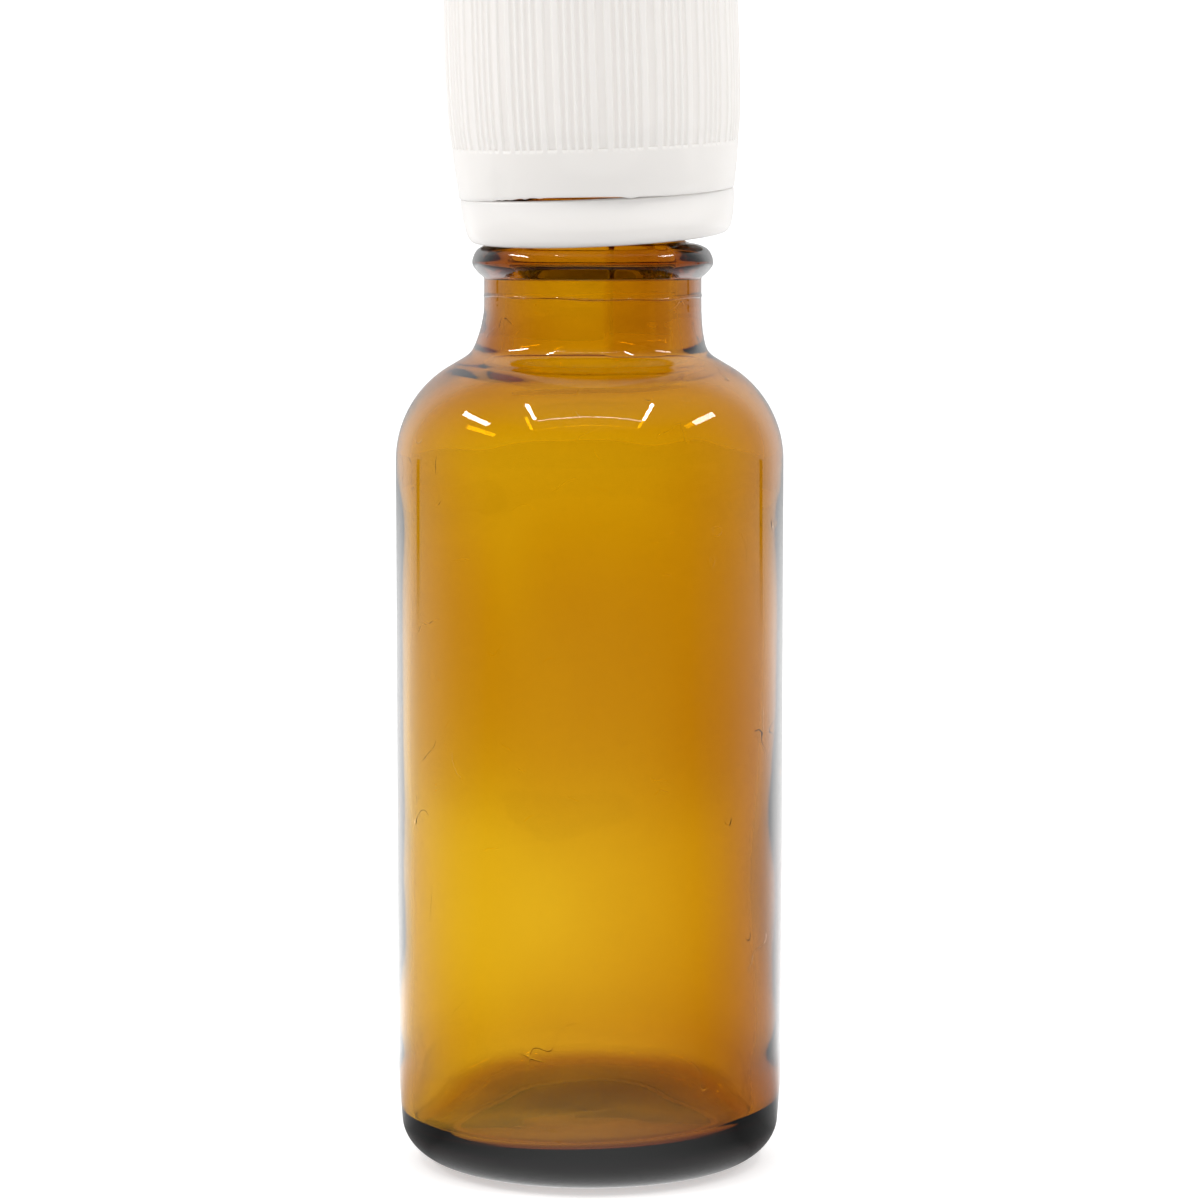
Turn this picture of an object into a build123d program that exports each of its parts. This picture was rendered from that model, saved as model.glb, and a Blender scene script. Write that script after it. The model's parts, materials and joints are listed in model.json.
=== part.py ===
from build123d import *
import os

# Round ink bottle with a push-and-turn screw closure and a tamper ring. Millimetres, +Z up.
# The origin is the middle of the base, on the surface that the bottle stands on.

# Glass body
BODY_R = 17.5
HEEL_REACH = 5.2
HEEL_RISE = 4.06
HEEL_R = 17.17
HEEL_TOP = 9.4
CONTACT_R = HEEL_R - HEEL_REACH
CONTACT_LAND = 0.7
PUSH_UP = 1.2
SHOULDER_Z = 64.0
SHOULDER_R = 9.8
SHOULDER_TURN = 62.0
NECK_R = 9.78
NECK_LOW = 78.4
NECK_TOP = 83.0
NECK_FLARE = ((NECK_R + 0.98, 73.71), (NECK_R + 0.37, 75.2), (NECK_R, NECK_LOW))
BEAD_Z = 81.75
BEAD_R = 10.83
BEAD_HALF = 1.3

# Inside of the glass: the blown wall is thinnest low on the body, and thicker on the +X side
FLOOR_Z = 4.2
FLOOR_CORNER = 1.6
WALL_FOOT_R = 15.5
WALL_RADII = ((15.85, 15.0), (16.18, 25.0), (15.85, 33.5), (15.55, 42.0), (15.56, 52.0), (15.9, 63.9))
WALL_SHIFT = -0.4
INNER_SHOULDER_R = 8.0
INNER_SHOULDER_TURN = 58.0
NECK_BORE_R = 7.6
NECK_BORE_FOOT = (NECK_BORE_R + 0.9, 74.0)
NECK_BORE_LOW = 77.0
NECK_BORE_HIGH = 83.0
NECK_BORE_TAPER = 2.0
BORE_R = 6.2

# Neck finish above the bead; the mould sets it a little off the body's axis
FINISH_SHIFT = 0.25
CORE_R = 8.1
RIM_Z = 95.0
RIM_ROUND = 0.6
LOCK_Z = 87.2
LOCK_R = 9.75
LOCK_HALF = 0.5
THREAD_PITCH = 3.0
THREAD_ROOT = 0.3
GLASS_THREAD_Z = 89.6
GLASS_THREAD_TURNS = 1.4
GLASS_THREAD_RISE = 0.9
GLASS_THREAD_WIDTHS = (0.95, 0.45)

# Dropper insert pressed into the mouth
PLUG_LENGTH = 9.0
PLUG_R = 5.95
PLUG_WALL = 1.0
SEAL_RIB_R = BORE_R + 0.03
SEAL_RIB_HALF = 0.5
SEAL_RIB_DEPTHS = (5.5, 3.2)
FLANGE_R = 7.8
FLANGE_T = 1.0
FLANGE_EDGE = 0.25
NOZZLE_TIP_Z = 102.0
NOZZLE_BASE_R = 3.2
NOZZLE_TIP_R = 1.9
DROP_HOLE_R = 0.6
DROP_HOLE_LENGTH = 2.0

# Closure, in its own upright frame: zero is just above the outer cap's lower edge, on its axis.
# It sits crooked on the neck: it leans to -X and towards -Y.
CLOSURE_AT = (0.62, 0.16, 88.38)
CLOSURE_LEAN_X = 1.85
CLOSURE_LEAN_Y = 3.0
BAND_TOP = 4.04
CAP_EDGE = ((12.28, -0.1), (12.42, 0.3))
CAP_SIDE = ((12.66, 1.95), (12.86, BAND_TOP), (13.07, 6.2), (13.2, 10.5), (13.15, 17.0))
CAP_TOP = 22.0
CAP_TOP_R = 13.1
CAP_TOP_ROUND = 0.8
CAP_ROOF = 1.4
CAP_BORE_R = 11.75
RIB_GROUPS = 18
RIB_PHASE = 3.1
RIB_TURNS = (-7.0, -3.25, 0.0, 3.25, 7.0)
RIB_WIDTHS = (2.8, 1.4, 1.4, 1.4, 2.8)
GROOVE_DEPTH = 0.28
DOG_COUNT = 8
DOG_SPAN = 18.0
DOG_INNER_R = 9.95
DOG_OUTER_R = 11.2
CAP_DOG_BOTTOM = 18.5
SNAP_R = 11.42
SNAP_LOW = 0.2
SNAP_TOP = 1.0

# Inner cap, in the closure's frame
INNER_SKIRT_R = 11.3
INNER_BORE_R = 9.75
INNER_BOTTOM = 0.4
COLLAR_R = 11.62
COLLAR_Z = 2.4
COLLAR_LAND = 0.5
COLLAR_T = 0.9
SHELF_Z = 9.5
SHELF_T = 1.2
CROWN_R = 9.9
CROWN_TOP = 18.2
INNER_DOG_RISE = 1.0
WELL_R = 3.5
WELL_TOP = 15.0
WELL_WALL = 1.1
CAP_THREAD_Z = GLASS_THREAD_Z + THREAD_PITCH / 2 - CLOSURE_AT[2]
CAP_THREAD_TURNS = 1.6
CAP_THREAD_RISE = 1.0
CAP_THREAD_WIDTHS = (0.9, 0.45)

# Torn bridges under the inner cap: turn from the front, and length left standing
BRIDGES = (
    (12.0, 0.3), (-27.0, 0.14), (-45.0, 0.14), (-62.0, 0.16),
    (62.0, 0.2), (118.0, 0.18), (176.0, 0.2), (236.0, 0.16),
)
BRIDGE_SPAN = 2.6
BRIDGE_T = 0.4
BRIDGE_INSET = 0.05
BRIDGE_ROOT = 0.2

# Sealing washer under the inner cap's shelf
WASHER_T = 0.95
WASHER_IN_R = 4.9
WASHER_OUT_R = 9.3
WASHER_TOP = SHELF_Z - 0.04

# Tamper ring, in its own upright frame: zero is the middle of its lower edge
RING_AT = (0.78, 0.1, 84.07)
RING_LEAN_X = 2.6
RING_LEAN_Y = 3.1
RING_H = 4.0
RING_BORE_R = 11.0
RING_LOW = ((11.2, 0.0), (11.6, 0.18), (11.78, 0.62))
RING_SIDE = ((11.95, 1.5), (12.12, 2.6), (12.2, 3.7))
RING_TOP_R = 12.08
CATCH_R = 9.35
CATCH_Z = 0.95
CATCH_T = 0.75
CATCH_SLOPE = 0.7
CATCH_DROP = 0.2

AXIS_PLANE = Plane.XZ
FRONT_TURN = -90.0
STANDING = (Align.CENTER, Align.CENTER, Align.MIN)


def turned(outline):
    """Solid of revolution about Z of an outline drawn with radius along X and height along Y."""
    return revolve(AXIS_PLANE * make_face(outline), axis=Axis.Z)


def leaning(at, lean_x, lean_y):
    """Place of a piece that leans to -X and towards -Y from the upright at a point."""
    return Pos(*at) * Rot(lean_y, -lean_x, 0)


CLOSURE_PLACE = leaning(CLOSURE_AT, CLOSURE_LEAN_X, CLOSURE_LEAN_Y)
RING_PLACE = leaning(RING_AT, RING_LEAN_X, RING_LEAN_Y)


def block_section(in_r, out_r, low, high):
    """Outline of a rectangular section between two radii and two heights."""
    return Polyline((in_r, low), (out_r, low), (out_r, high), (in_r, high), close=True)


def turned_part(outline, span, start):
    """Part of a turned body, over a span of degrees from a start."""
    return Rot(0, 0, start) * revolve(AXIS_PLANE * make_face(outline), axis=Axis.Z, revolution_arc=span)


def thread(root_r, rise, bottom_z, turns, widths):
    """Trapezoid thread rib on a wall of root_r; a negative rise points inwards."""
    root = -THREAD_ROOT if rise > 0 else THREAD_ROOT
    half_base, half_crest = (width / 2 for width in widths)
    helix = Helix(pitch=THREAD_PITCH, height=THREAD_PITCH * turns, radius=root_r)
    start = Plane(origin=helix @ 0, x_dir=(1, 0, 0), z_dir=helix % 0)
    corners = [(root, -half_base), (rise, -half_crest), (rise, half_crest), (root, half_base)]
    rib = sweep(start * make_face(Polyline(*corners, close=True)), path=helix, is_frenet=True)
    return Pos(0, 0, bottom_z) * rib


def body_outline():
    """Outer side of the glass from the contact ring up to the top of the neck."""
    heel = EllipticalCenterArc((CONTACT_R, HEEL_RISE), HEEL_REACH, HEEL_RISE, -90, arc_size=90)
    ease = Line(heel @ 1, (BODY_R, HEEL_TOP))
    side = Line((BODY_R, HEEL_TOP), (BODY_R, SHOULDER_Z))
    shoulder = CenterArc((BODY_R - SHOULDER_R, SHOULDER_Z), SHOULDER_R, 0, SHOULDER_TURN)
    flare = Spline(shoulder @ 1, *NECK_FLARE, tangents=[shoulder % 1, (0, 1)])
    neck = Line((NECK_R, NECK_LOW), (NECK_R, NECK_TOP))
    return [heel, ease, side, shoulder, flare, neck]


def glass_outside():
    land_start = (CONTACT_R - CONTACT_LAND, 0)
    dome = ThreePointArc((0, PUSH_UP), (CONTACT_R * 0.5, PUSH_UP * 0.8), land_start)
    land = Line(land_start, (CONTACT_R, 0))
    top = Polyline((NECK_R, NECK_TOP), (0, NECK_TOP), (0, PUSH_UP))
    return turned([dome, land] + body_outline() + [top])


def glass_inside():
    """The hollow: floor, wavy wall, shoulder and wide neck, then the narrower bore out past the rim."""
    corner_at = (WALL_FOOT_R - FLOOR_CORNER, FLOOR_Z + FLOOR_CORNER)
    floor = Line((0, FLOOR_Z), (corner_at[0], FLOOR_Z))
    corner = CenterArc(corner_at, FLOOR_CORNER, -90, 90)
    wall = Spline(corner @ 1, *WALL_RADII, tangents=[(0, 1), (0, 1)])
    top_r, top_z = WALL_RADII[-1]
    shoulder = CenterArc((top_r - INNER_SHOULDER_R, top_z), INNER_SHOULDER_R, 0, INNER_SHOULDER_TURN)
    neck_low = (NECK_BORE_R, NECK_BORE_LOW)
    blend = Spline(shoulder @ 1, NECK_BORE_FOOT, neck_low, tangents=[shoulder % 1, (0, 1)])
    taper_z = NECK_BORE_HIGH + NECK_BORE_TAPER
    taper_r = BORE_R - NECK_BORE_TAPER / 3
    top = Polyline(neck_low, (NECK_BORE_R, NECK_BORE_HIGH), (taper_r, taper_z), (0, taper_z), (0, FLOOR_Z))
    hollow = turned([floor, corner, wall, shoulder, blend, top])
    bore_low = NECK_BORE_HIGH + NECK_BORE_TAPER / 2
    bore = Cylinder(BORE_R, RIM_Z - bore_low + RIM_ROUND, align=STANDING)
    return Pos(WALL_SHIFT, 0, 0) * hollow + Pos(FINISH_SHIFT, 0, bore_low) * bore


def neck_finish():
    """Support bead, core, locking bead, thread and rim, before the bore is cut."""
    inside_r = CORE_R - 1
    bead_low = (NECK_R - 0.2, BEAD_Z - BEAD_HALF)
    bead_top = (BEAD_R - 1.5, BEAD_Z + BEAD_HALF + 0.25)
    bead = turned([
        ThreePointArc(bead_low, (BEAD_R, BEAD_Z), bead_top),
        Polyline(bead_top, (inside_r, bead_top[1]), (inside_r, bead_low[1]), bead_low),
    ])
    core_low = NECK_TOP - 1
    core = Pos(0, 0, core_low) * Cylinder(CORE_R, RIM_Z - core_low, align=STANDING)
    core = fillet(core.edges().sort_by(Axis.Z)[-1], RIM_ROUND)
    lock_root = CORE_R - 0.2
    lock_low = (lock_root, LOCK_Z - LOCK_HALF)
    lock_top = (lock_root, LOCK_Z + LOCK_HALF)
    lock = turned([ThreePointArc(lock_low, (LOCK_R, LOCK_Z), lock_top), Line(lock_top, lock_low)])
    rib = thread(CORE_R, GLASS_THREAD_RISE, GLASS_THREAD_Z, GLASS_THREAD_TURNS, GLASS_THREAD_WIDTHS)
    return Pos(FINISH_SHIFT, 0, 0) * (core + bead + lock + rib)


def glass_bottle():
    return glass_outside() + neck_finish() - glass_inside()


def nozzle_and_plug():
    """Turned outline of the insert: plug, flange and nozzle, with the passage through it."""
    base_z = RIM_Z - PLUG_LENGTH
    flange_z = RIM_Z + FLANGE_T
    inner_r = PLUG_R - PLUG_WALL
    outside = [
        (inner_r, base_z), (PLUG_R - 0.3, base_z), (PLUG_R, base_z + 1.2), (PLUG_R, RIM_Z),
        (FLANGE_R, RIM_Z), (FLANGE_R, flange_z - FLANGE_EDGE), (FLANGE_R - FLANGE_EDGE, flange_z),
        (NOZZLE_BASE_R, flange_z), (NOZZLE_BASE_R - 0.5, flange_z + 2), (NOZZLE_TIP_R, NOZZLE_TIP_Z),
    ]
    passage = [
        (DROP_HOLE_R, NOZZLE_TIP_Z), (DROP_HOLE_R, NOZZLE_TIP_Z - DROP_HOLE_LENGTH),
        (NOZZLE_BASE_R - 1.2, flange_z - 0.5), (inner_r, flange_z - 2.5),
    ]
    return turned(Polyline(*outside, *passage, close=True))


def dropper_insert():
    """Soft plug with a flange on the rim, two sealing ribs and a dropping nozzle."""
    insert = nozzle_and_plug()
    root_r = PLUG_R - 0.2
    for depth in SEAL_RIB_DEPTHS:
        z = RIM_Z - depth
        rib = Polyline((root_r, z - SEAL_RIB_HALF), (SEAL_RIB_R, z), (root_r, z + SEAL_RIB_HALF), close=True)
        insert += turned(rib)
    return Pos(FINISH_SHIFT, 0, 0) * insert


def dogs(z_low, z_high, offset):
    """Ring of ratchet dogs between two heights."""
    section = block_section(DOG_INNER_R, DOG_OUTER_R, z_low, z_high)
    step = 360 / DOG_COUNT
    return [turned_part(section, DOG_SPAN, i * step + offset) for i in range(DOG_COUNT)]


def cap_skin(inset):
    """Outer side of the cap from its lower edge to the roof's edge, set in by a distance."""
    points = [CAP_EDGE[1], *CAP_SIDE, (CAP_TOP_R, CAP_TOP - CAP_TOP_ROUND)]
    side = Spline(*[(r - inset, z) for r, z in points])
    edge_r = CAP_TOP_R - inset
    bulge = 0.3 * CAP_TOP_ROUND
    top = ThreePointArc(side @ 1, (edge_r - bulge, CAP_TOP - bulge), (edge_r - CAP_TOP_ROUND, CAP_TOP))
    return side, top


def cap_shell():
    """Smooth outer shell, as wide as the crests of the ridges."""
    side, top = cap_skin(0)
    bore_low = (CAP_BORE_R, CAP_EDGE[0][1])
    low = Polyline(bore_low, *CAP_EDGE)
    inside_z = CAP_TOP - CAP_ROOF
    inside = Polyline(top @ 1, (0, CAP_TOP), (0, inside_z), (CAP_BORE_R, inside_z), bore_low)
    return turned([low, side, top, inside])


def groove_section():
    """Material between the grooved surface and the outer side, above the smooth band."""
    side, top = cap_skin(0)
    deep_side, deep_top = cap_skin(GROOVE_DEPTH)
    ends = [Line(top @ 1, deep_top @ 1), Line(deep_side @ 0, side @ 0)]
    above_band = Pos(0, BAND_TOP) * Rectangle(2 * CAP_TOP, CAP_TOP, align=(Align.MIN, Align.MIN))
    return make_face([side, top, deep_top, deep_side, *ends]) & above_band


def snap_bead():
    """Bead inside the shell's lower edge that keeps it on the inner cap."""
    root_r = CAP_BORE_R + 0.2
    corners = [(root_r, SNAP_LOW), (SNAP_R, SNAP_LOW + 0.25), (SNAP_R, SNAP_TOP - 0.15), (root_r, SNAP_TOP)]
    return turned(Polyline(*corners, close=True))


def outer_cap():
    """Ribbed shell: groups of ridges left standing between cut grooves, dogs under its roof."""
    section = groove_section()
    cap = cap_shell() - revolve(AXIS_PLANE * section, axis=Axis.Z)
    ridges = []
    for group in range(RIB_GROUPS):
        middle = RIB_PHASE + group * 360 / RIB_GROUPS
        for turn, width in zip(RIB_TURNS, RIB_WIDTHS):
            ridge = revolve(AXIS_PLANE * section, axis=Axis.Z, revolution_arc=width)
            ridges.append(Rot(0, 0, middle + turn - width / 2) * ridge)
    cap_dogs = dogs(CAP_DOG_BOTTOM, CAP_TOP - CAP_ROOF + 0.2, 0)
    return CLOSURE_PLACE * cap.fuse(snap_bead(), *ridges, *cap_dogs)


def inner_drum():
    """Skirt with its collar, shelf over the mouth, well for the nozzle and crown."""
    shelf_top = SHELF_Z + SHELF_T
    well_out_r = WELL_R + WELL_WALL
    well_out_z = WELL_TOP + WELL_WALL
    outside = [
        (INNER_BORE_R, INNER_BOTTOM), (INNER_SKIRT_R, INNER_BOTTOM), (INNER_SKIRT_R, COLLAR_Z),
        (COLLAR_R, COLLAR_Z), (COLLAR_R, COLLAR_Z + COLLAR_LAND), (INNER_SKIRT_R, COLLAR_Z + COLLAR_T),
        (INNER_SKIRT_R, CROWN_TOP), (CROWN_R, CROWN_TOP), (CROWN_R, shelf_top),
    ]
    well = [(well_out_r, shelf_top), (well_out_r, well_out_z), (0, well_out_z)]
    inside = [(0, WELL_TOP), (WELL_R, WELL_TOP), (WELL_R, SHELF_Z), (INNER_BORE_R, SHELF_Z)]
    return turned(Polyline(*outside, *well, *inside, close=True))


def bridge_stubs():
    """Torn ends of the bridges that held the ring, at uneven turns from the front."""
    out_r = INNER_SKIRT_R - BRIDGE_INSET
    stubs = []
    for turn, length in BRIDGES:
        section = block_section(
            out_r - BRIDGE_T, out_r, INNER_BOTTOM - length, INNER_BOTTOM + BRIDGE_ROOT
        )
        stubs.append(turned_part(section, BRIDGE_SPAN, FRONT_TURN + turn - BRIDGE_SPAN / 2))
    return stubs


def inner_cap():
    """Threaded drum with ratchet dogs on its crown and the torn bridges under its skirt."""
    rib = thread(INNER_BORE_R, -CAP_THREAD_RISE, CAP_THREAD_Z, CAP_THREAD_TURNS, CAP_THREAD_WIDTHS)
    half_step = 180 / DOG_COUNT
    drum_dogs = dogs(CROWN_TOP - 0.2, CROWN_TOP + INNER_DOG_RISE, half_step)
    return CLOSURE_PLACE * inner_drum().fuse(rib, *drum_dogs, *bridge_stubs())


def sealing_washer():
    section = block_section(WASHER_IN_R, WASHER_OUT_R, WASHER_TOP - WASHER_T, WASHER_TOP)
    return CLOSURE_PLACE * turned(section)


def tamper_ring():
    """Loose ring on the support bead, with an inner catch that stays under the locking bead."""
    low = ThreePointArc(*RING_LOW)
    side = Spline(RING_LOW[2], *RING_SIDE)
    catch_top = CATCH_Z + CATCH_T
    slope_top = (RING_BORE_R, catch_top + CATCH_SLOPE)
    top = Polyline(RING_SIDE[-1], (RING_TOP_R, RING_H), (RING_BORE_R, RING_H), slope_top)
    catch = Polyline(
        slope_top, (CATCH_R, catch_top), (CATCH_R, CATCH_Z + CATCH_DROP),
        (RING_BORE_R, CATCH_Z - CATCH_DROP), (RING_BORE_R, 0), RING_LOW[0],
    )
    return RING_PLACE * turned([low, side, top, catch])


PIECES = {
    "glass_bottle": glass_bottle,
    "dropper_insert": dropper_insert,
    "sealing_washer": sealing_washer,
    "inner_cap": inner_cap,
    "outer_cap": outer_cap,
    "tamper_ring": tamper_ring,
}

os.makedirs("parts", exist_ok=True)
for name, make in PIECES.items():
    export_step(make(), f"parts/{name}.step")
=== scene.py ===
"""Ink bottle: amber glass, a crooked ribbed screw closure and a loose tamper ring, in a light box."""
import json
import math

import bpy
import numpy as np
from mathutils import Matrix, Vector


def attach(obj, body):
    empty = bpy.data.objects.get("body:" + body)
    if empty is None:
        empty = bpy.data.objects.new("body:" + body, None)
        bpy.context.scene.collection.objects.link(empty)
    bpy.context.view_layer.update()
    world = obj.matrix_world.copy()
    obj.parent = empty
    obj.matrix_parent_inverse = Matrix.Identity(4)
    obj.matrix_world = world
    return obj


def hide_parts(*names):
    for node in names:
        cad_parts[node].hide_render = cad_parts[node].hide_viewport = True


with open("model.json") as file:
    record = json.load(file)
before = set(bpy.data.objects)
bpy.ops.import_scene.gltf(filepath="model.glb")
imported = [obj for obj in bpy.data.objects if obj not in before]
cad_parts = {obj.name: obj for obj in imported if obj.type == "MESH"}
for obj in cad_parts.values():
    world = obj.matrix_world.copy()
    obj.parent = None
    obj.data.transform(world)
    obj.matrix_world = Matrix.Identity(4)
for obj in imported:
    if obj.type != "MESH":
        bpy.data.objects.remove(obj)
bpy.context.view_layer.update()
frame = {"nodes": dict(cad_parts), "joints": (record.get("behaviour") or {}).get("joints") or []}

MM = 0.001

# Joint axes from the frame: where the closure and the ring stand, and which way they lean
JOINTS = {joint["name"]: joint for joint in frame["joints"]}


def joint_frame(name):
    """Matrix of a leaning piece's own upright frame, in metres, from its joint."""
    joint = JOINTS[name]
    up = Vector(joint["axis"]).normalized()
    across = Vector((1, 0, -up.x / up.z)).normalized()
    away = up.cross(across)
    turn = Matrix((across, away, up)).transposed().to_4x4()
    return Matrix.Translation(joint["pos_m"]) @ turn


# ---------------------------------------------------------------- mesh helpers

def ease_between(value, low, high):
    """0 at low, 1 at high and smooth between, for a number or an array; low may be the larger."""
    t = np.clip((value - low) / (high - low), 0, 1)
    return t * t * (3 - 2 * t)


def arc(centre, radius, start, end, count):
    """Points of an arc in the radius-height plane, angles in degrees."""
    angles = np.radians(np.linspace(start, end, count))
    return [(centre[0] + radius * math.cos(a), centre[1] + radius * math.sin(a)) for a in angles]


def smooth(points, per_span):
    """Catmull-Rom curve through points in the radius-height plane."""
    before = 2 * np.array(points[0]) - points[1]
    after = 2 * np.array(points[-1]) - points[-2]
    p = np.array([before, *points, after], float)
    out = []
    for i in range(1, len(p) - 2):
        for t in np.linspace(0, 1, per_span, endpoint=False):
            a = 2 * p[i] + (p[i + 1] - p[i - 1]) * t
            b = (2 * p[i - 1] - 5 * p[i] + 4 * p[i + 1] - p[i + 2]) * t * t
            c = (3 * p[i] - p[i - 1] - 3 * p[i + 1] + p[i + 2]) * t ** 3
            out.append(tuple((a + b + c) / 2))
    out.append(tuple(p[-2]))
    return out


def lathe(name, parts, segments, closed=False):
    """Mesh turned about Z from one or more parts, each a profile in mm with its shape.

    shape(r, z, angles) gives a ring's radii, heights and shift along X. Parts that start and end
    on the axis make a closed body; closed=True joins their ends instead.
    """
    angles = np.linspace(0, 2 * math.pi, segments, endpoint=False)
    verts = []
    faces = []
    rings = []
    points = [(r, z, shape) for profile, shape in parts for r, z in profile]
    for r, z, shape in points:
        if r < 1e-6:
            rings.append([len(verts)])
            verts.append((0.0, 0.0, z))
            continue
        radii, heights, shift_x = shape(r, z, angles)
        start = len(verts)
        rings.append(list(range(start, start + segments)))
        xs = radii * np.cos(angles) + shift_x
        ys = radii * np.sin(angles)
        verts.extend(zip(xs.tolist(), ys.tolist(), heights.tolist()))
    pairs = list(zip(rings[:-1], rings[1:]))
    if closed:
        pairs.append((rings[-1], rings[0]))
    for low, high in pairs:
        if len(low) == len(high) == 1:
            continue
        for i in range(segments):
            j = (i + 1) % segments
            if len(low) == 1:
                faces.append((low[0], high[j], high[i]))
            elif len(high) == 1:
                faces.append((low[i], low[j], high[0]))
            else:
                faces.append((low[i], low[j], high[j], high[i]))
    mesh = bpy.data.meshes.new(name)
    mesh.from_pydata((np.array(verts) * MM).tolist(), [], faces)
    mesh.update()
    mesh.shade_smooth()
    piece = bpy.data.objects.new(name, mesh)
    bpy.context.scene.collection.objects.link(piece)
    return piece


# ---------------------------------------------------------------- node helpers

def new_material(name):
    """Material with its node tree and its Principled shader."""
    material = bpy.data.materials.new(name)
    material.use_nodes = True
    return material, material.node_tree, material.node_tree.nodes["Principled BSDF"]


def feed(tree, value, socket):
    """Sets a socket to a number or links another socket to it."""
    if isinstance(value, (int, float)):
        socket.default_value = value
    else:
        tree.links.new(value, socket)


def maths(tree, operation, *values):
    """Math node on numbers or sockets."""
    node = tree.nodes.new("ShaderNodeMath")
    node.operation = operation
    for socket, value in zip(node.inputs, values):
        feed(tree, value, socket)
    return node.outputs["Value"]


def blend(tree, factor, first, second):
    """Mix of two numbers or sockets."""
    node = tree.nodes.new("ShaderNodeMix")
    node.data_type = "FLOAT"
    feed(tree, factor, node.inputs["Factor"])
    feed(tree, first, node.inputs["A"])
    feed(tree, second, node.inputs["B"])
    return node.outputs["Result"]


def spread(tree, value, low, high, new_low, new_high):
    """Map Range node on a value."""
    node = tree.nodes.new("ShaderNodeMapRange")
    node.inputs["From Min"].default_value = low
    node.inputs["From Max"].default_value = high
    node.inputs["To Min"].default_value = new_low
    node.inputs["To Max"].default_value = new_high
    tree.links.new(value, node.inputs["Value"])
    return node.outputs["Result"]


def ramp(tree, value, stops, scale=1.0):
    """Straight lines between (position, level) stops, with levels up to the scale."""
    node = tree.nodes.new("ShaderNodeValToRGB")
    elements = node.color_ramp.elements
    while len(elements) > 1:
        elements.remove(elements[-1])
    for index, (position, level) in enumerate(stops):
        element = elements[0] if index == 0 else elements.new(position)
        element.position = position
        element.color = (level / scale, level / scale, level / scale, 1)
    tree.links.new(value, node.inputs["Fac"])
    return maths(tree, "MULTIPLY", node.outputs["Color"], scale)


def noise(tree, scale, detail, stretch=(1, 1, 1)):
    """Noise over the piece's own space, stretched along its axes."""
    place = tree.nodes.new("ShaderNodeTexCoord")
    mapping = tree.nodes.new("ShaderNodeMapping")
    mapping.inputs["Scale"].default_value = stretch
    texture = tree.nodes.new("ShaderNodeTexNoise")
    texture.inputs["Scale"].default_value = scale
    texture.inputs["Detail"].default_value = detail
    tree.links.new(place.outputs["Object"], mapping.inputs["Vector"])
    tree.links.new(mapping.outputs["Vector"], texture.inputs["Vector"])
    return texture.outputs["Fac"]


def bump(tree, height, strength, distance, shader, after=None):
    """Bump on a shader, over an earlier bump when one is given."""
    node = tree.nodes.new("ShaderNodeBump")
    node.inputs["Strength"].default_value = strength
    node.inputs["Distance"].default_value = distance
    tree.links.new(height, node.inputs["Height"])
    if after:
        tree.links.new(after, node.inputs["Normal"])
    tree.links.new(node.outputs["Normal"], shader.inputs["Normal"])
    return node.outputs["Normal"]


# ---------------------------------------------------------------- materials

AMBER_TINT = (0.886, 0.781, 0.0, 1)
AMBER_DENSITY = 1900.0
GLASS_IOR = 1.52
HAZE_ROUGHNESS = 0.03
# Scratches: pieces of the level line of one noise, kept only in the patches of another
SCRATCH_HALF_WIDTH = 0.004
SCRATCH_PATCH = (0.6, 0.64)
SCRATCH_STRENGTH = 0.25
SCRATCH_DEPTH = 0.0001


def amber_glass():
    """Amber glass that absorbs with depth, with a slight haze, mould waves and fine scratches."""
    material, tree, shader = new_material("amber_glass")
    shader.inputs["Base Color"].default_value = (1.0, 0.97, 0.80, 1)
    shader.inputs["Transmission Weight"].default_value = 1.0
    shader.inputs["IOR"].default_value = GLASS_IOR
    haze = spread(tree, noise(tree, 350.0, 2.0), 0.5, 0.75, 0.0, HAZE_ROUGHNESS)
    tree.links.new(haze, shader.inputs["Roughness"])
    waves = bump(tree, noise(tree, 160.0, 2.0, (1, 1, 0.5)), 0.02, 0.0005, shader)
    level = maths(tree, "ABSOLUTE", maths(tree, "SUBTRACT", noise(tree, 130.0, 2.0), 0.5))
    line = spread(tree, level, 0.0, SCRATCH_HALF_WIDTH, 1.0, 0.0)
    patch = spread(tree, noise(tree, 260.0, 1.0), *SCRATCH_PATCH, 0.0, 1.0)
    scratches = maths(tree, "MULTIPLY", line, patch)
    bump(tree, scratches, SCRATCH_STRENGTH, SCRATCH_DEPTH, shader, waves)
    volume = tree.nodes.new("ShaderNodeVolumeAbsorption")
    volume.inputs["Color"].default_value = AMBER_TINT
    volume.inputs["Density"].default_value = AMBER_DENSITY
    tree.links.new(volume.outputs["Volume"], tree.nodes["Material Output"].inputs["Volume"])
    return material


# Plastic: how dark its clouding goes, how its shine varies, how deep light enters, and its grain
CLOUD_DARKENING = 0.985
SHINE_SPREAD = (-0.05, 0.06)
SKIN_DEPTH = 0.0012
GRAIN_STRENGTH = 0.06
GRAIN_DEPTH = 0.00008


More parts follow.
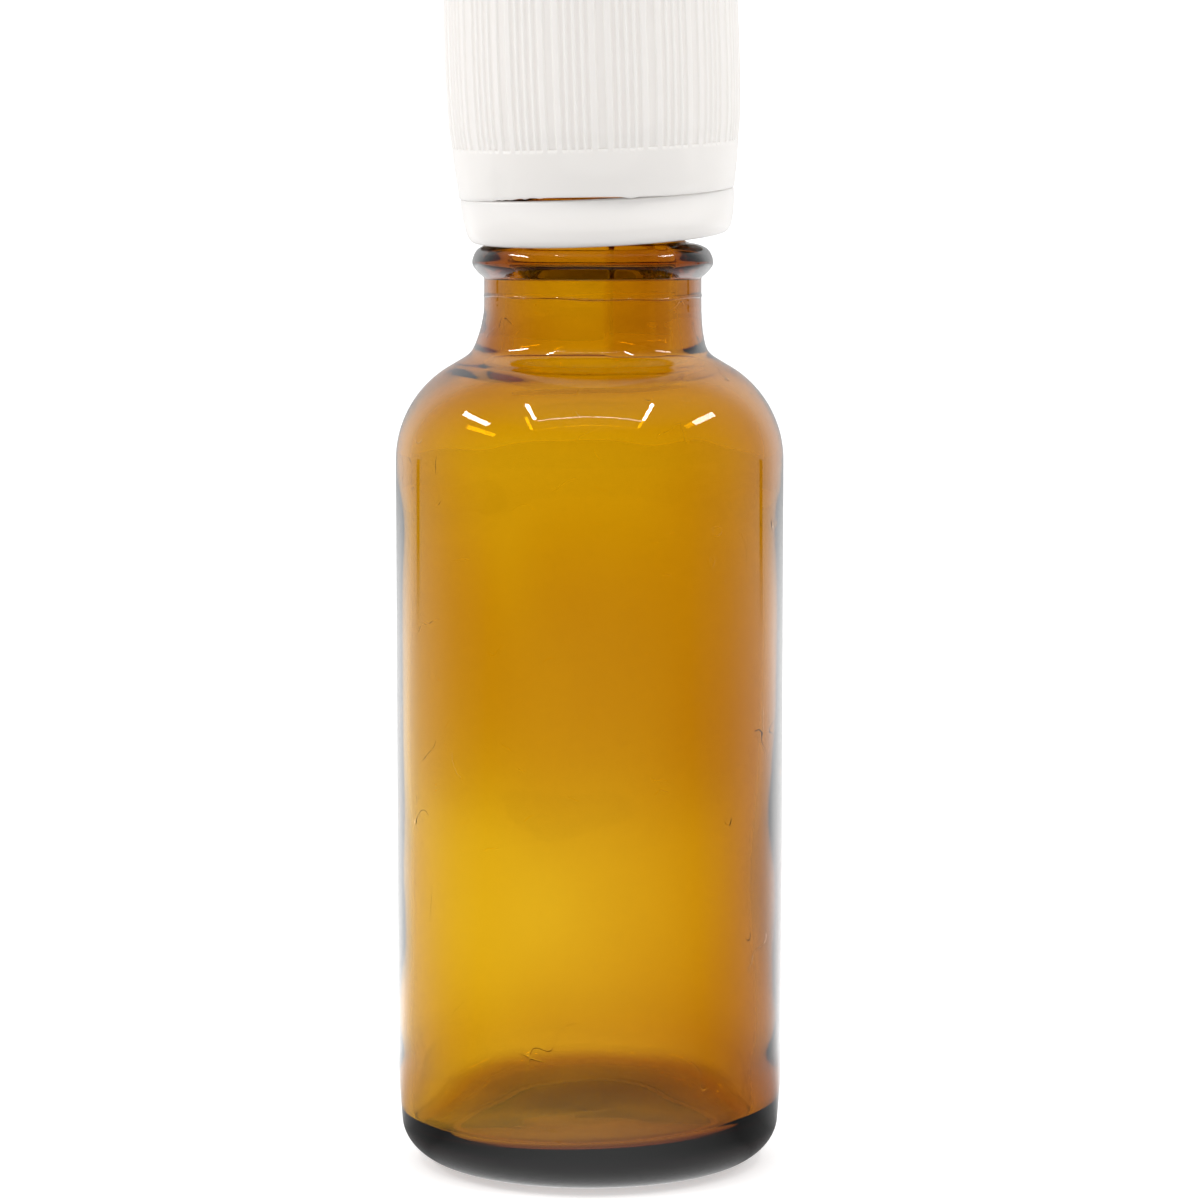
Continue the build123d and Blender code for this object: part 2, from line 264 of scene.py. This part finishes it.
def white_plastic(name, colour, roughness, grain=1.0):
    """Moulded white plastic: faint clouding, fine grain and slight shine changes."""
    material, tree, shader = new_material(name)
    cloud = tree.nodes.new("ShaderNodeMix")
    cloud.data_type = "RGBA"
    cloud.inputs["A"].default_value = (*[c * CLOUD_DARKENING for c in colour], 1)
    cloud.inputs["B"].default_value = (*colour, 1)
    tree.links.new(noise(tree, 180.0, 5.0), cloud.inputs["Factor"])
    tree.links.new(cloud.outputs["Result"], shader.inputs["Base Color"])
    glossiest, dullest = (roughness + change for change in SHINE_SPREAD)
    shine = spread(tree, noise(tree, 700.0, 3.0), 0.3, 0.7, glossiest, dullest)
    tree.links.new(shine, shader.inputs["Roughness"])
    shader.inputs["Subsurface Weight"].default_value = 0.5
    shader.inputs["Subsurface Radius"].default_value = (1.0, 0.97, 0.94)
    shader.inputs["Subsurface Scale"].default_value = SKIN_DEPTH
    bump(tree, noise(tree, 2600.0, 3.0), GRAIN_STRENGTH * grain, GRAIN_DEPTH, shader)
    return material


# ---------------------------------------------------------------- glass

# Outside, in mm from the middle of the base: heel, straight side, shoulder, neck, core, rim and thread
HEEL_START_R = 11.97
HEEL_REACH = 5.2
HEEL_RISE = 4.06
BODY_R = 17.5
SHOULDER_Z = 64.0
SHOULDER_R = 9.8
NECK_R = 9.78
CORE_R = 8.1
RIM_Z = 95.0
RIM_ROUND = 0.6
THREAD_Z = 89.6
THREAD_TURNS = 1.4
THREAD_PITCH = 3.0
THREAD_RISE = 0.9
# Half widths of the thread at its crest and its foot, and how much of a turn its ends run out over
THREAD_HALF_WIDTH = (0.34, 0.62)
THREAD_RUN_OUT = 0.06
# Fine line that the parting of the mould left round the neck
MOULD_LINE_Z = 78.75
MOULD_LINE_RISE = 0.06
MOULD_LINE_WIDTH = 0.08
# Inside: the shoulder's arc, and how far the finish and the low, high and neck wall sit off the axis
INNER_SHOULDER = (7.9, 63.9)
INNER_SHOULDER_R = 8.0
FINISH_SHIFT = 0.28
LOW_WALL_SHIFT = -0.45
HIGH_WALL_SHIFT = -0.15
NECK_WALL_SHIFT = 0.18
# Inner radius at the two sides, and how much thicker the wall is behind them, low down and higher up
SIDE_WALL_R = 15.85
LOW_BACK_THICK = 0.1
LEFT_BACK_THICK = 0.6
RIGHT_BACK_THICK = 0.4
# Thin and thick spots of the blown wall: turn, reach in degrees, height, reach in mm, extra inner radius
WALL_SPOTS = (
    (243.0, 12.0, 56.0, 7.0, 0.26),
    (268.0, 13.0, 52.0, 3.5, -0.12),
    (312.0, 16.0, 31.0, 9.0, 0.07),
)
# Waves of the inner wall: height in mm, count round the wall, mm of climb, phase
WALL_WAVES = ((0.03, 3, 9.0, 0.0), (0.02, 7, -4.0, 1.0), (0.012, 11, 3.0, 0.0))
# A thicker strip down the neck, right of its middle: edges, their softness and depth in mm
NECK_STRIP = (1.1, 6.4)
NECK_STRIP_EDGE = 1.1
NECK_STRIP_DEPTH = 0.38
# The inner floor: slope across, rise towards the back, and ripples
FLOOR_SLOPE = 0.03
FLOOR_BACK_RISE = 0.075
FLOOR_RIPPLE = 0.03
GLASS_SEGMENTS = 512


def outer_profile():
    """Outer side from the middle of the base to the rim's inner edge."""
    base = smooth([(0, 1.2), (2.8, 1.14), (5.6, 0.92), (8.4, 0.52), (10.6, 0.1), (11.27, 0.0)], 4)
    heel = [
        (HEEL_START_R + HEEL_REACH * math.sin(a), HEEL_RISE * (1 - math.cos(a)))
        for a in np.radians(np.linspace(0, 84, 22))
    ]
    into_side = smooth([heel[-1], (17.27, 5.2), (17.42, 7.2), (BODY_R, 9.4), (BODY_R, 12.0)], 5)[1:]
    into_side = [(min(r, BODY_R), z) for r, z in into_side]
    side = [(BODY_R, z) for z in np.linspace(13, SHOULDER_Z, 36)]
    shoulder = arc((BODY_R - SHOULDER_R, SHOULDER_Z), SHOULDER_R, 0, 62, 36)[1:]
    flare_points = [shoulder[-1], (10.76, 73.71), (10.15, 75.2), (9.84, 77.0), (NECK_R, 78.4)]
    flare = smooth(flare_points, 24)[1:]
    neck = [(NECK_R, z) for z in np.linspace(78.45, 80.3, 60)]
    bead = smooth([(9.83, 80.45), (10.34, 80.9), (10.78, 81.5), (10.8, 82.1), (10.4, 82.9),
                   (9.6, 83.35), (8.5, 83.6), (CORE_R, 84.0)], 6)
    to_lock = [(CORE_R, z) for z in np.linspace(84.3, 86.6, 6)]
    lock = smooth([(CORE_R + 0.1, 86.68), (9.2, 86.8), (9.72, 87.2), (9.2, 87.6), (CORE_R + 0.1, 87.72)], 5)
    core = [(CORE_R, z) for z in np.arange(87.9, RIM_Z - RIM_ROUND, 0.09)]
    rim = arc((CORE_R - RIM_ROUND, RIM_Z - RIM_ROUND), RIM_ROUND, 0, 90, 7)
    return base + heel + into_side + side + shoulder + flare + neck + bead + to_lock + lock + core + rim


def inner_profile():
    """Inner side from the rim down the bore, neck and wall to the middle of the floor."""
    bore = [(6.6, 95.0), (6.35, 94.9), (6.2, 94.6), (6.2, 92.0), (6.2, 88.0), (6.2, 85.4)]
    shoulder = arc(INNER_SHOULDER, INNER_SHOULDER_R, 58, 3, 32)
    neck = smooth([(6.3, 85.0), (7.2, 83.9), (7.7, 82.8), (7.78, 80.5), (7.78, 77.6), (7.88, 76.0),
                   (8.13, 74.6), (8.74, 73.36), (10.0, 71.96), shoulder[0]], 12)[:-1]
    wall = smooth([shoulder[-1], (15.86, 62.0), (15.72, 58.0), (15.56, 52.0), (15.54, 42.0),
                   (15.68, 36.5), (15.95, 31.0), (16.1, 25.0), (16.04, 19.0), (15.85, 14.0),
                   (15.6, 10.0), (15.5, 6.2)], 8)[1:]
    corner = arc((14.0, 5.6), 1.5, 0, -90, 14)[1:]
    floor = smooth([(13.6, 4.11), (12.0, 4.2), (9.0, 4.35), (6.0, 4.5), (2.0, 4.55), (0.0, 4.55)], 8)
    return bore + neck + shoulder + wall + corner + floor


def thread_height(z, angles):
    """How far the glass thread stands out at a height, round the neck."""
    total = np.zeros_like(angles)
    crest, foot = THREAD_HALF_WIDTH
    for turn in range(int(THREAD_TURNS) + 2):
        along = turn + angles / (2 * math.pi)
        middle = THREAD_Z + THREAD_PITCH * along
        starting = np.clip(along / THREAD_RUN_OUT, 0, 1)
        ending = np.clip((THREAD_TURNS - along) / THREAD_RUN_OUT, 0, 1)
        section = ease_between(np.abs(z - middle), foot, crest)
        total = np.maximum(total, THREAD_RISE * starting * ending * section)
    return total


def outer_shape(r, z, angles):
    """Outer side: the thread, a fine mould line round the neck, and a finish that stands off the axis."""
    radii = np.full_like(angles, r)
    if THREAD_Z - 1 < z < THREAD_Z + THREAD_PITCH * THREAD_TURNS + 1:
        radii = radii + thread_height(z, angles)
    line_z = MOULD_LINE_Z + 0.1 * np.sin(2 * angles + 0.6) + 0.05 * np.sin(9 * angles)
    radii = radii + MOULD_LINE_RISE * np.exp(-(((z - line_z) / MOULD_LINE_WIDTH) ** 2))
    return radii, np.full_like(angles, z), FINISH_SHIFT * ease_between(z, 73.0, 78.0)


def wall_unevenness(r, z, angles):
    """Extra inner radius of the blown wall: one radius at the sides, thicker behind them, and spots."""
    in_wall = ease_between(z, 8.0, 14.0) * (1 - ease_between(z, 60.0, 64.0))
    higher_up = ease_between(z, 26.0, 36.0) * (1 - ease_between(z, 58.0, 64.0))
    on_left = (1 - np.cos(angles)) / 2
    side_thick = RIGHT_BACK_THICK + (LEFT_BACK_THICK - RIGHT_BACK_THICK) * on_left
    back_thick = LOW_BACK_THICK + side_thick * higher_up
    uneven = (SIDE_WALL_R - r) * np.cos(angles) ** 4 * in_wall
    uneven = uneven - back_thick * np.sin(angles) * np.cos(angles) ** 2 * in_wall
    for turn, turn_reach, height, height_reach, depth in WALL_SPOTS:
        across = (angles - math.radians(turn)) / math.radians(turn_reach)
        up = (z - height) / height_reach
        uneven = uneven + depth * np.exp(-(across ** 2 + up ** 2))
    return uneven


def wall_waves(z, angles):
    """Waves of the inner wall, which calm down towards the two sides."""
    waves = [
        height * np.sin(count * angles + z / climb + phase)
        for height, count, climb, phase in WALL_WAVES
    ]
    return sum(waves) * (1 - 0.8 * np.cos(angles) ** 4)


def floor_tilt(r, angles):
    """How far the inner floor stands above its profile."""
    across = FLOOR_SLOPE * r * np.cos(angles)
    behind = FLOOR_BACK_RISE * r * np.clip(np.sin(angles), 0, 1) ** 2
    ripple = FLOOR_RIPPLE * np.sin(3 * angles + 0.5 * r) * min(1.0, r / 6)
    return across + behind + ripple


def inner_shape(r, z, angles):
    """Inner side: a shifted, uneven and waving wall, a strip down the neck and a tilted floor."""
    below_bore = 1 - ease_between(z, 83.0, 85.5)
    wall_shift = LOW_WALL_SHIFT + (HIGH_WALL_SHIFT - LOW_WALL_SHIFT) * ease_between(z, 30.0, 56.0)
    wall_shift = wall_shift + (NECK_WALL_SHIFT - HIGH_WALL_SHIFT) * ease_between(z, 66.0, 73.0)
    shift = wall_shift * below_bore + FINISH_SHIFT * (1 - below_bore)
    x = r * np.cos(angles)
    low, high = NECK_STRIP
    strip = ease_between(x, low, low + NECK_STRIP_EDGE) * ease_between(x, high, high - NECK_STRIP_EDGE)
    strip = NECK_STRIP_DEPTH * strip * below_bore * ease_between(z, 71.5, 75.0)
    waves = wall_waves(z, angles) * below_bore * ease_between(z, 5.0, 12.0)
    heights = z + floor_tilt(r, angles) * (1 - ease_between(z, 5.5, 12.0))
    return r + wall_unevenness(r, z, angles) + waves - strip, heights, shift


def make_glass(material):
    """Glass body, with its outer and inner side in one closed mesh."""
    sides = ((outer_profile(), outer_shape), (inner_profile(), inner_shape))
    piece = lathe("glass_body", sides, GLASS_SEGMENTS)
    piece.data.materials.append(material)
    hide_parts("glass_bottle")
    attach(piece, "bottle")


# ---------------------------------------------------------------- closure

# Outer shell, in mm in its own upright frame, with its origin on the axis near the band's lower edge
CAP_SEGMENTS = 2160
BAND_TOP = 4.04
CAP_TOP = 21.98
CAP_BORE_R = 11.75
CAP_CEILING = 20.6
GROOVE_DEPTH = 0.15
RIB_GROUPS = 18
RIB_PHASE = 3.1
# Ridges of one group: middle and half width, and their edges' softness, in degrees
RIDGES = ((-7.0, 1.3), (-3.25, 0.62), (0.0, 0.62), (3.25, 0.62), (7.0, 1.3))
RIDGE_EDGE = 0.45
# How far the band's lower edge hangs, in mm, at turns from the front in degrees
LIP_TURNS = (-180, -110, -90, -75, -60, -45, -30, -15, 0, 15, 30, 45, 60, 90, 180)
LIP_SAG = (0.0, 0.2, 0.46, 0.48, 0.42, 0.22, 0.02, 0.0, 0.03, 0.13, 0.2, 0.18, 0.14, 0.1, 0.0)
# Torn burrs along it: turn from the front, width in degrees and depth in mm
BURRS = (
    (-49, 1.6, 0.08), (-43, 1.0, 0.05), (-38, 2.2, 0.07), (-31, 1.2, 0.09), (-24, 1.4, 0.05),
    (14, 2.6, 0.12),
)


def ridge_pattern(angles):
    """1 on a ridge's crest and 0 in a groove, round the cap."""
    step = 360 / RIB_GROUPS
    turn = (np.degrees(angles) - RIB_PHASE + step / 2) % step - step / 2
    height = np.zeros_like(angles)
    for middle, half in RIDGES:
        for wrap in (-step, 0, step):
            off_middle = np.abs(turn - middle - wrap)
            height = np.maximum(height, ease_between(off_middle, half + RIDGE_EDGE, half - RIDGE_EDGE))
    return height


def lip_sag(angles):
    """How far the band's lower edge hangs below its circle, round the cap."""
    turns = (np.degrees(angles) + 90 + 180) % 360 - 180
    sag = np.interp(turns, LIP_TURNS, LIP_SAG)
    for middle, width, depth in BURRS:
        sag = sag + depth * np.exp(-(((turns - middle) / width) ** 2))
    return sag


def cap_profile():
    """Outer side from the lower edge to the middle of the roof, then the inside, in the cap's frame."""
    band = smooth([(11.85, -0.1), (12.2, -0.1), (12.34, -0.02), (12.42, 0.22), (12.5, 0.75),
                   (12.66, 1.95), (12.86, BAND_TOP)], 6)
    ribs = smooth([(12.865, BAND_TOP + 0.02), (12.87, BAND_TOP + 0.1), (12.92, 4.7), (13.07, 6.2),
                   (13.2, 10.5), (13.15, 17.0), (13.1, 21.1)], 8)
    top = arc((12.3, 21.2), 0.78, 8, 90, 12)
    roof = [(r, CAP_TOP) for r in (11.5, 10.0, 6.0, 0)]
    ceiling = [(r, CAP_CEILING) for r in (0, 6.0, CAP_BORE_R - 0.3)] + [(CAP_BORE_R, CAP_CEILING - 0.3)]
    bore = [(CAP_BORE_R, z) for z in (15.0, 10.0, 5.0, 1.05)]
    snap = [(11.45, 0.85), (11.43, 0.45), (11.75, 0.05)]
    return band + ribs + top + roof + ceiling + bore + snap


def cap_shape(r, z, angles):
    """Grooves between the ridges, ending in a ledge on the smooth band and fading into the roof's edge."""
    radii = np.full_like(angles, r)
    heights = np.full_like(angles, z)
    if r > 12.5 and z > BAND_TOP + 0.01:
        depth = GROOVE_DEPTH * (1 - ease_between(z, 21.3, 21.8))
        radii = radii - depth * (1 - ridge_pattern(angles))
    if r > 11.8 and z < 0.6:
        heights = heights - lip_sag(angles) * (1 - ease_between(z, 0.0, 0.6))
    return radii, heights, 0.0


def place_with(piece, matrix, body, node):
    """Puts a piece made in its own upright frame where its joint is, in its mesh, and binds it."""
    piece.data.transform(matrix)
    piece.data.update()
    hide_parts(node)
    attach(piece, body)


def make_cap(material):
    """Ribbed outer shell of the closure."""
    piece = lathe("cap_shell", [(cap_profile(), cap_shape)], CAP_SEGMENTS, closed=True)
    piece.data.materials.append(material)
    place_with(piece, joint_frame("cap_turn"), "shell", "outer_cap")


RING_HEIGHT = 4.0
RING_SEGMENTS = 360
RING_BORE_R = 11.0
RING_LIP_R = 9.35
RING_SAG = 0.19
RING_SHIFT = 0.1
# The ring's skin is pressed in at the front: depth at the top, and turn from the front in radians
RING_DENT = 0.75
RING_DENT_TURN = 0.3


def ring_shape(r, z, angles):
    """The ring's lower edge hangs lower at the front than its axis asks for, and its skin is dented."""
    sag = RING_SAG * r / 12 * np.sin(angles) * (1 - z / RING_HEIGHT)
    front = np.clip(-np.sin(angles - RING_DENT_TURN), 0, 1) ** 2
    on_skin = 1 if r > RING_BORE_R + 0.3 else 0
    dent = RING_DENT * front * ease_between(z, 1.2, RING_HEIGHT) * on_skin
    return r - dent, z + sag, RING_SHIFT


def make_ring(material):
    """Loose tamper ring, with the inner lip that the glass bead holds."""
    height = RING_HEIGHT
    skin = smooth([(11.2, 0.0), (11.5, 0.1), (11.74, 0.38), (11.9, 0.75), (12.08, 1.5), (12.24, 2.5),
                   (12.32, 3.6), (12.29, 3.86), (12.1, height)], 8)
    inside = [(RING_BORE_R + 0.05, height), (RING_BORE_R, height - 0.05), (RING_BORE_R, 2.4),
              (RING_LIP_R, 1.7), (RING_LIP_R, 1.15), (RING_BORE_R, 0.75), (RING_BORE_R, 0.06)]
    piece = lathe("ring_skin", [(skin + inside, ring_shape)], RING_SEGMENTS, closed=True)
    piece.data.materials.append(material)
    place_with(piece, joint_frame("ring_turn"), "ring", "tamper_ring")


# ---------------------------------------------------------------- studio

CAMERA_DISTANCE = 0.383
CAMERA_HEIGHT = 0.0884
CAMERA_SIDE = 0.00093
CAMERA_PITCH = 5.54
LENS = 127.4
SENSOR_WIDTH = 36.0


def make_camera():
    """Camera in front of the bottle, looking a little down."""
    data = bpy.data.cameras.new("camera")
    data.lens = LENS
    data.sensor_width = SENSOR_WIDTH
    data.clip_start = 0.01
    camera = bpy.data.objects.new("camera", data)
    camera.location = (CAMERA_SIDE, -CAMERA_DISTANCE, CAMERA_HEIGHT)
    camera.rotation_euler = (math.radians(90 - CAMERA_PITCH), 0, 0)
    bpy.context.scene.collection.objects.link(camera)
    bpy.context.scene.camera = camera


# LED strips under the light box's roof: name, place in plan, size and radiance
STRIPS = (
    ("front_bar", (0, -0.232), (0.38, 0.006), 12.0),
    ("left_leg", (-0.178, -0.15), (0.013, 0.14), 42.0),
    ("right_leg", (0.178, -0.15), (0.013, 0.15), 42.0),
    ("left_bar", (-0.42, -0.03), (0.05, 0.21), 24.0),
    ("right_bar", (0.42, -0.025), (0.055, 0.17), 14.0),
)
STRIP_Z = 0.37
STRIP_COLOUR = (1.0, 0.985, 0.97)
LEG_TURN = 0.2


def make_lights():
    """The LED strips; the two legs spread a little towards the back."""
    for name, (x, y), (width, depth), radiance in STRIPS:
        data = bpy.data.lights.new(name, "AREA")
        data.shape = "RECTANGLE"
        data.size = width
        data.size_y = depth
        data.energy = radiance * math.pi * width * depth
        data.color = STRIP_COLOUR
        light = bpy.data.objects.new(name, data)
        light.location = (x, y, STRIP_Z)
        if "leg" in name:
            light.rotation_euler.z = math.copysign(LEG_TURN, x)
        bpy.context.scene.collection.objects.link(light)


# What the glass mirrors, from the open front (0) to the back (1): dark ahead, brighter walls behind
WALL_MIRROR = (
    (0.0, 0.02), (0.25, 0.05), (0.42, 0.2), (0.5, 0.34), (0.585, 0.55), (0.735, 0.9), (0.79, 1.2),
    (0.84, 1.65), (0.88, 2.0), (0.93, 1.9), (0.96, 1.62), (0.985, 1.2), (1.0, 1.0),
)
MIRROR_TOP = 2.5
# The walls mirror less than the floor at their foot, and the roof less again
WALL_DIM = 0.6
ROOF_MIRROR = 0.4
ROOF_SLOPE = (0.6, 0.97)
# Dark seams between the side walls and the back: where they stand, as WALL_MIRROR counts, and how dark
SEAM = ((0.0, 1.0), (0.738, 1.0), (0.75, 0.03), (0.768, 0.03), (0.777, 1.0))
SEAM_TOP_SLOPE = (-0.06, 0.0)
# What shows through the glass, from the open front to the bright back
VIEW = ((0.0, 0.1), (0.3, 0.3), (0.45, 1.0), (0.6, 1.4), (1.0, 1.4))
VIEW_TOP = 1.5
# The floor in front mirrors bright at the bottle's foot and dims away from it, out to the reach in metres
FLOOR_REACH = 0.8
FLOOR_MIRROR = (
    (0.0, 0.9), (0.035, 0.8), (0.055, 0.45), (0.09, 0.24), (0.125, 0.17), (0.25, 0.13), (0.6, 0.08),
    (1.0, 0.0),
)
# That near part is brightest straight ahead and fades to the sides
AHEAD_EDGE = 0.36
AHEAD_LEVELS = (1.2, 0.25)
# Distances in metres over which the floor takes on the walls' mirror image, their seams and their dimming
WALL_IMAGE_START = (0.015, 0.06)
SEAM_START = (0.45, 0.7)
WALL_DIM_START = (0.45, 0.9)
# Glow of the paper itself, near the bottle and far away
PAPER_COLOUR = (0.8, 0.8, 0.8, 1)
PAPER_GLOW = (0.48, 0.6)
PAPER_GLOW_START = (0.05, 0.6)
# Light that reaches the pale plastic from the floor, and from the front and the back of the box
FLOOR_BOUNCE = 1.18
WALL_BOUNCE = (0.6, 0.95)
FRONT_END = 0.4
FLOOR_HALF_SIZE = 6.0


def facing(tree, x, y):
    """Distance from the axis in plan, and 0 towards the front rising to 1 towards the back."""
    squares = maths(tree, "ADD", maths(tree, "MULTIPLY", x, x), maths(tree, "MULTIPLY", y, y))
    flat = maths(tree, "SQRT", squares)
    back = maths(tree, "DIVIDE", y, maths(tree, "MAXIMUM", flat, 0.0001))
    return flat, spread(tree, back, -1.0, 1.0, 0.0, 1.0)


def ray_kinds(tree):
    """1 for a mirrored ray and 1 for a diffusely bounced ray; both 0 for a straight or refracted look."""
    rays = tree.nodes.new("ShaderNodeLightPath")
    bounced = rays.outputs["Is Diffuse Ray"]
    only_mirrored = maths(tree, "SUBTRACT", rays.outputs["Is Reflection Ray"], bounced)
    return maths(tree, "MAXIMUM", only_mirrored, 0.0), bounced


def coordinates(tree, kind):
    """X, Y and Z of one kind of texture coordinate."""
    place = tree.nodes.new("ShaderNodeTexCoord")
    parts = tree.nodes.new("ShaderNodeSeparateXYZ")
    tree.links.new(place.outputs[kind], parts.inputs["Vector"])
    return parts.outputs


def floor_mirror(tree, flat, back):
    """What the glass mirrors of the floor: the paper ahead, and the walls' image behind and beside it."""
    ahead = spread(tree, back, 0.0, AHEAD_EDGE, *AHEAD_LEVELS)
    near = ramp(tree, maths(tree, "DIVIDE", flat, FLOOR_REACH), FLOOR_MIRROR)
    near = maths(tree, "MULTIPLY", near, ahead)
    far = ramp(tree, back, WALL_MIRROR, MIRROR_TOP)
    far = maths(tree, "MULTIPLY", far, spread(tree, flat, *WALL_IMAGE_START, 0.15, 1.0))
    seam = blend(tree, spread(tree, flat, *SEAM_START, 0.0, 1.0), 1.0, ramp(tree, back, SEAM))
    far = maths(tree, "MULTIPLY", far, seam)
    far = maths(tree, "MULTIPLY", far, spread(tree, flat, *WALL_DIM_START, 1.0, WALL_DIM))
    return maths(tree, "MAXIMUM", near, far)


def floor_paper():
    """Pale glowing paper, with its own brightness for mirrored and for bounced rays."""
    material, tree, shader = new_material("floor_paper")
    shader.inputs["Base Color"].default_value = PAPER_COLOUR
    shader.inputs["Roughness"].default_value = 1.0
    shader.inputs["Emission Color"].default_value = (1, 1, 1, 1)
    x, y, _ = coordinates(tree, "Object")
    mirrored, bounced = ray_kinds(tree)
    flat, back = facing(tree, x, y)
    paper_glow = spread(tree, flat, *PAPER_GLOW_START, *PAPER_GLOW)
    tree.links.new(paper_glow, shader.inputs["Emission Strength"])
    in_mirror = maths(tree, "MULTIPLY", floor_mirror(tree, flat, back), mirrored)
    strength = maths(tree, "ADD", in_mirror, maths(tree, "MULTIPLY", bounced, FLOOR_BOUNCE))
    glow = tree.nodes.new("ShaderNodeEmission")
    tree.links.new(strength, glow.inputs["Strength"])
    mix = tree.nodes.new("ShaderNodeMixShader")
    tree.links.new(maths(tree, "ADD", mirrored, bounced), mix.inputs["Fac"])
    tree.links.new(shader.outputs["BSDF"], mix.inputs[1])
    tree.links.new(glow.outputs["Emission"], mix.inputs[2])
    tree.links.new(mix.outputs["Shader"], tree.nodes["Material Output"].inputs["Surface"])
    return material


def make_floor():
    """Pale paper under the bottle."""
    size = FLOOR_HALF_SIZE
    mesh = bpy.data.meshes.new("floor")
    corners = [(-size, -size, 0), (size, -size, 0), (size, size, 0), (-size, size, 0)]
    mesh.from_pydata(corners, [], [(0, 1, 2, 3)])
    mesh.materials.append(floor_paper())
    floor = bpy.data.objects.new("floor", mesh)
    bpy.context.scene.collection.objects.link(floor)


def make_world():
    """Light box: bright back, paler sides and roof, and an open front that mirrors dark."""
    world = bpy.data.worlds.new("light_box")
    bpy.context.scene.world = world
    world.use_nodes = True
    tree = world.node_tree
    background = tree.nodes["Background"]
    x, y, z = coordinates(tree, "Generated")
    _, back = facing(tree, x, y)
    seam = blend(tree, spread(tree, z, *SEAM_TOP_SLOPE, 0.0, 1.0), ramp(tree, back, SEAM), 1.0)
    walls = maths(tree, "MULTIPLY", ramp(tree, back, WALL_MIRROR, MIRROR_TOP), seam)
    walls = maths(tree, "MULTIPLY", walls, WALL_DIM)
    in_mirror = blend(tree, spread(tree, z, *ROOF_SLOPE, 0.0, 1.0), walls, ROOF_MIRROR)
    mirrored, bounced = ray_kinds(tree)
    seen = blend(tree, mirrored, ramp(tree, back, VIEW, VIEW_TOP), in_mirror)
    bounce = spread(tree, back, 0.0, FRONT_END, *WALL_BOUNCE)
    tree.links.new(blend(tree, bounced, seen, bounce), background.inputs["Strength"])
    background.inputs["Color"].default_value = (1, 1, 1, 1)


# ---------------------------------------------------------------- scene

make_camera()
make_floor()
make_lights()
make_world()
scene = bpy.context.scene
scene.view_settings.view_transform = "Standard"
scene.cycles.max_bounces = 24
scene.cycles.glossy_bounces = 16
scene.cycles.transmission_bounces = 24

make_glass(amber_glass())
make_cap(white_plastic("cap_plastic", (0.865, 0.835, 0.805), 0.4))
make_ring(white_plastic("ring_plastic", (0.865, 0.84, 0.815), 0.38, 0.8))

NODE_MATERIALS = {
    "inner_cap": white_plastic("inner_cap_plastic", (0.84, 0.83, 0.81), 0.42),
    "dropper_insert": white_plastic("insert_plastic", (0.80, 0.80, 0.78), 0.3, 0.6),
    "sealing_washer": white_plastic("washer_foam", (0.85, 0.85, 0.83), 0.7, 2.0),
}
for node_name, node_material in NODE_MATERIALS.items():
    for material_slot in frame["nodes"][node_name].material_slots:
        material_slot.material = node_material
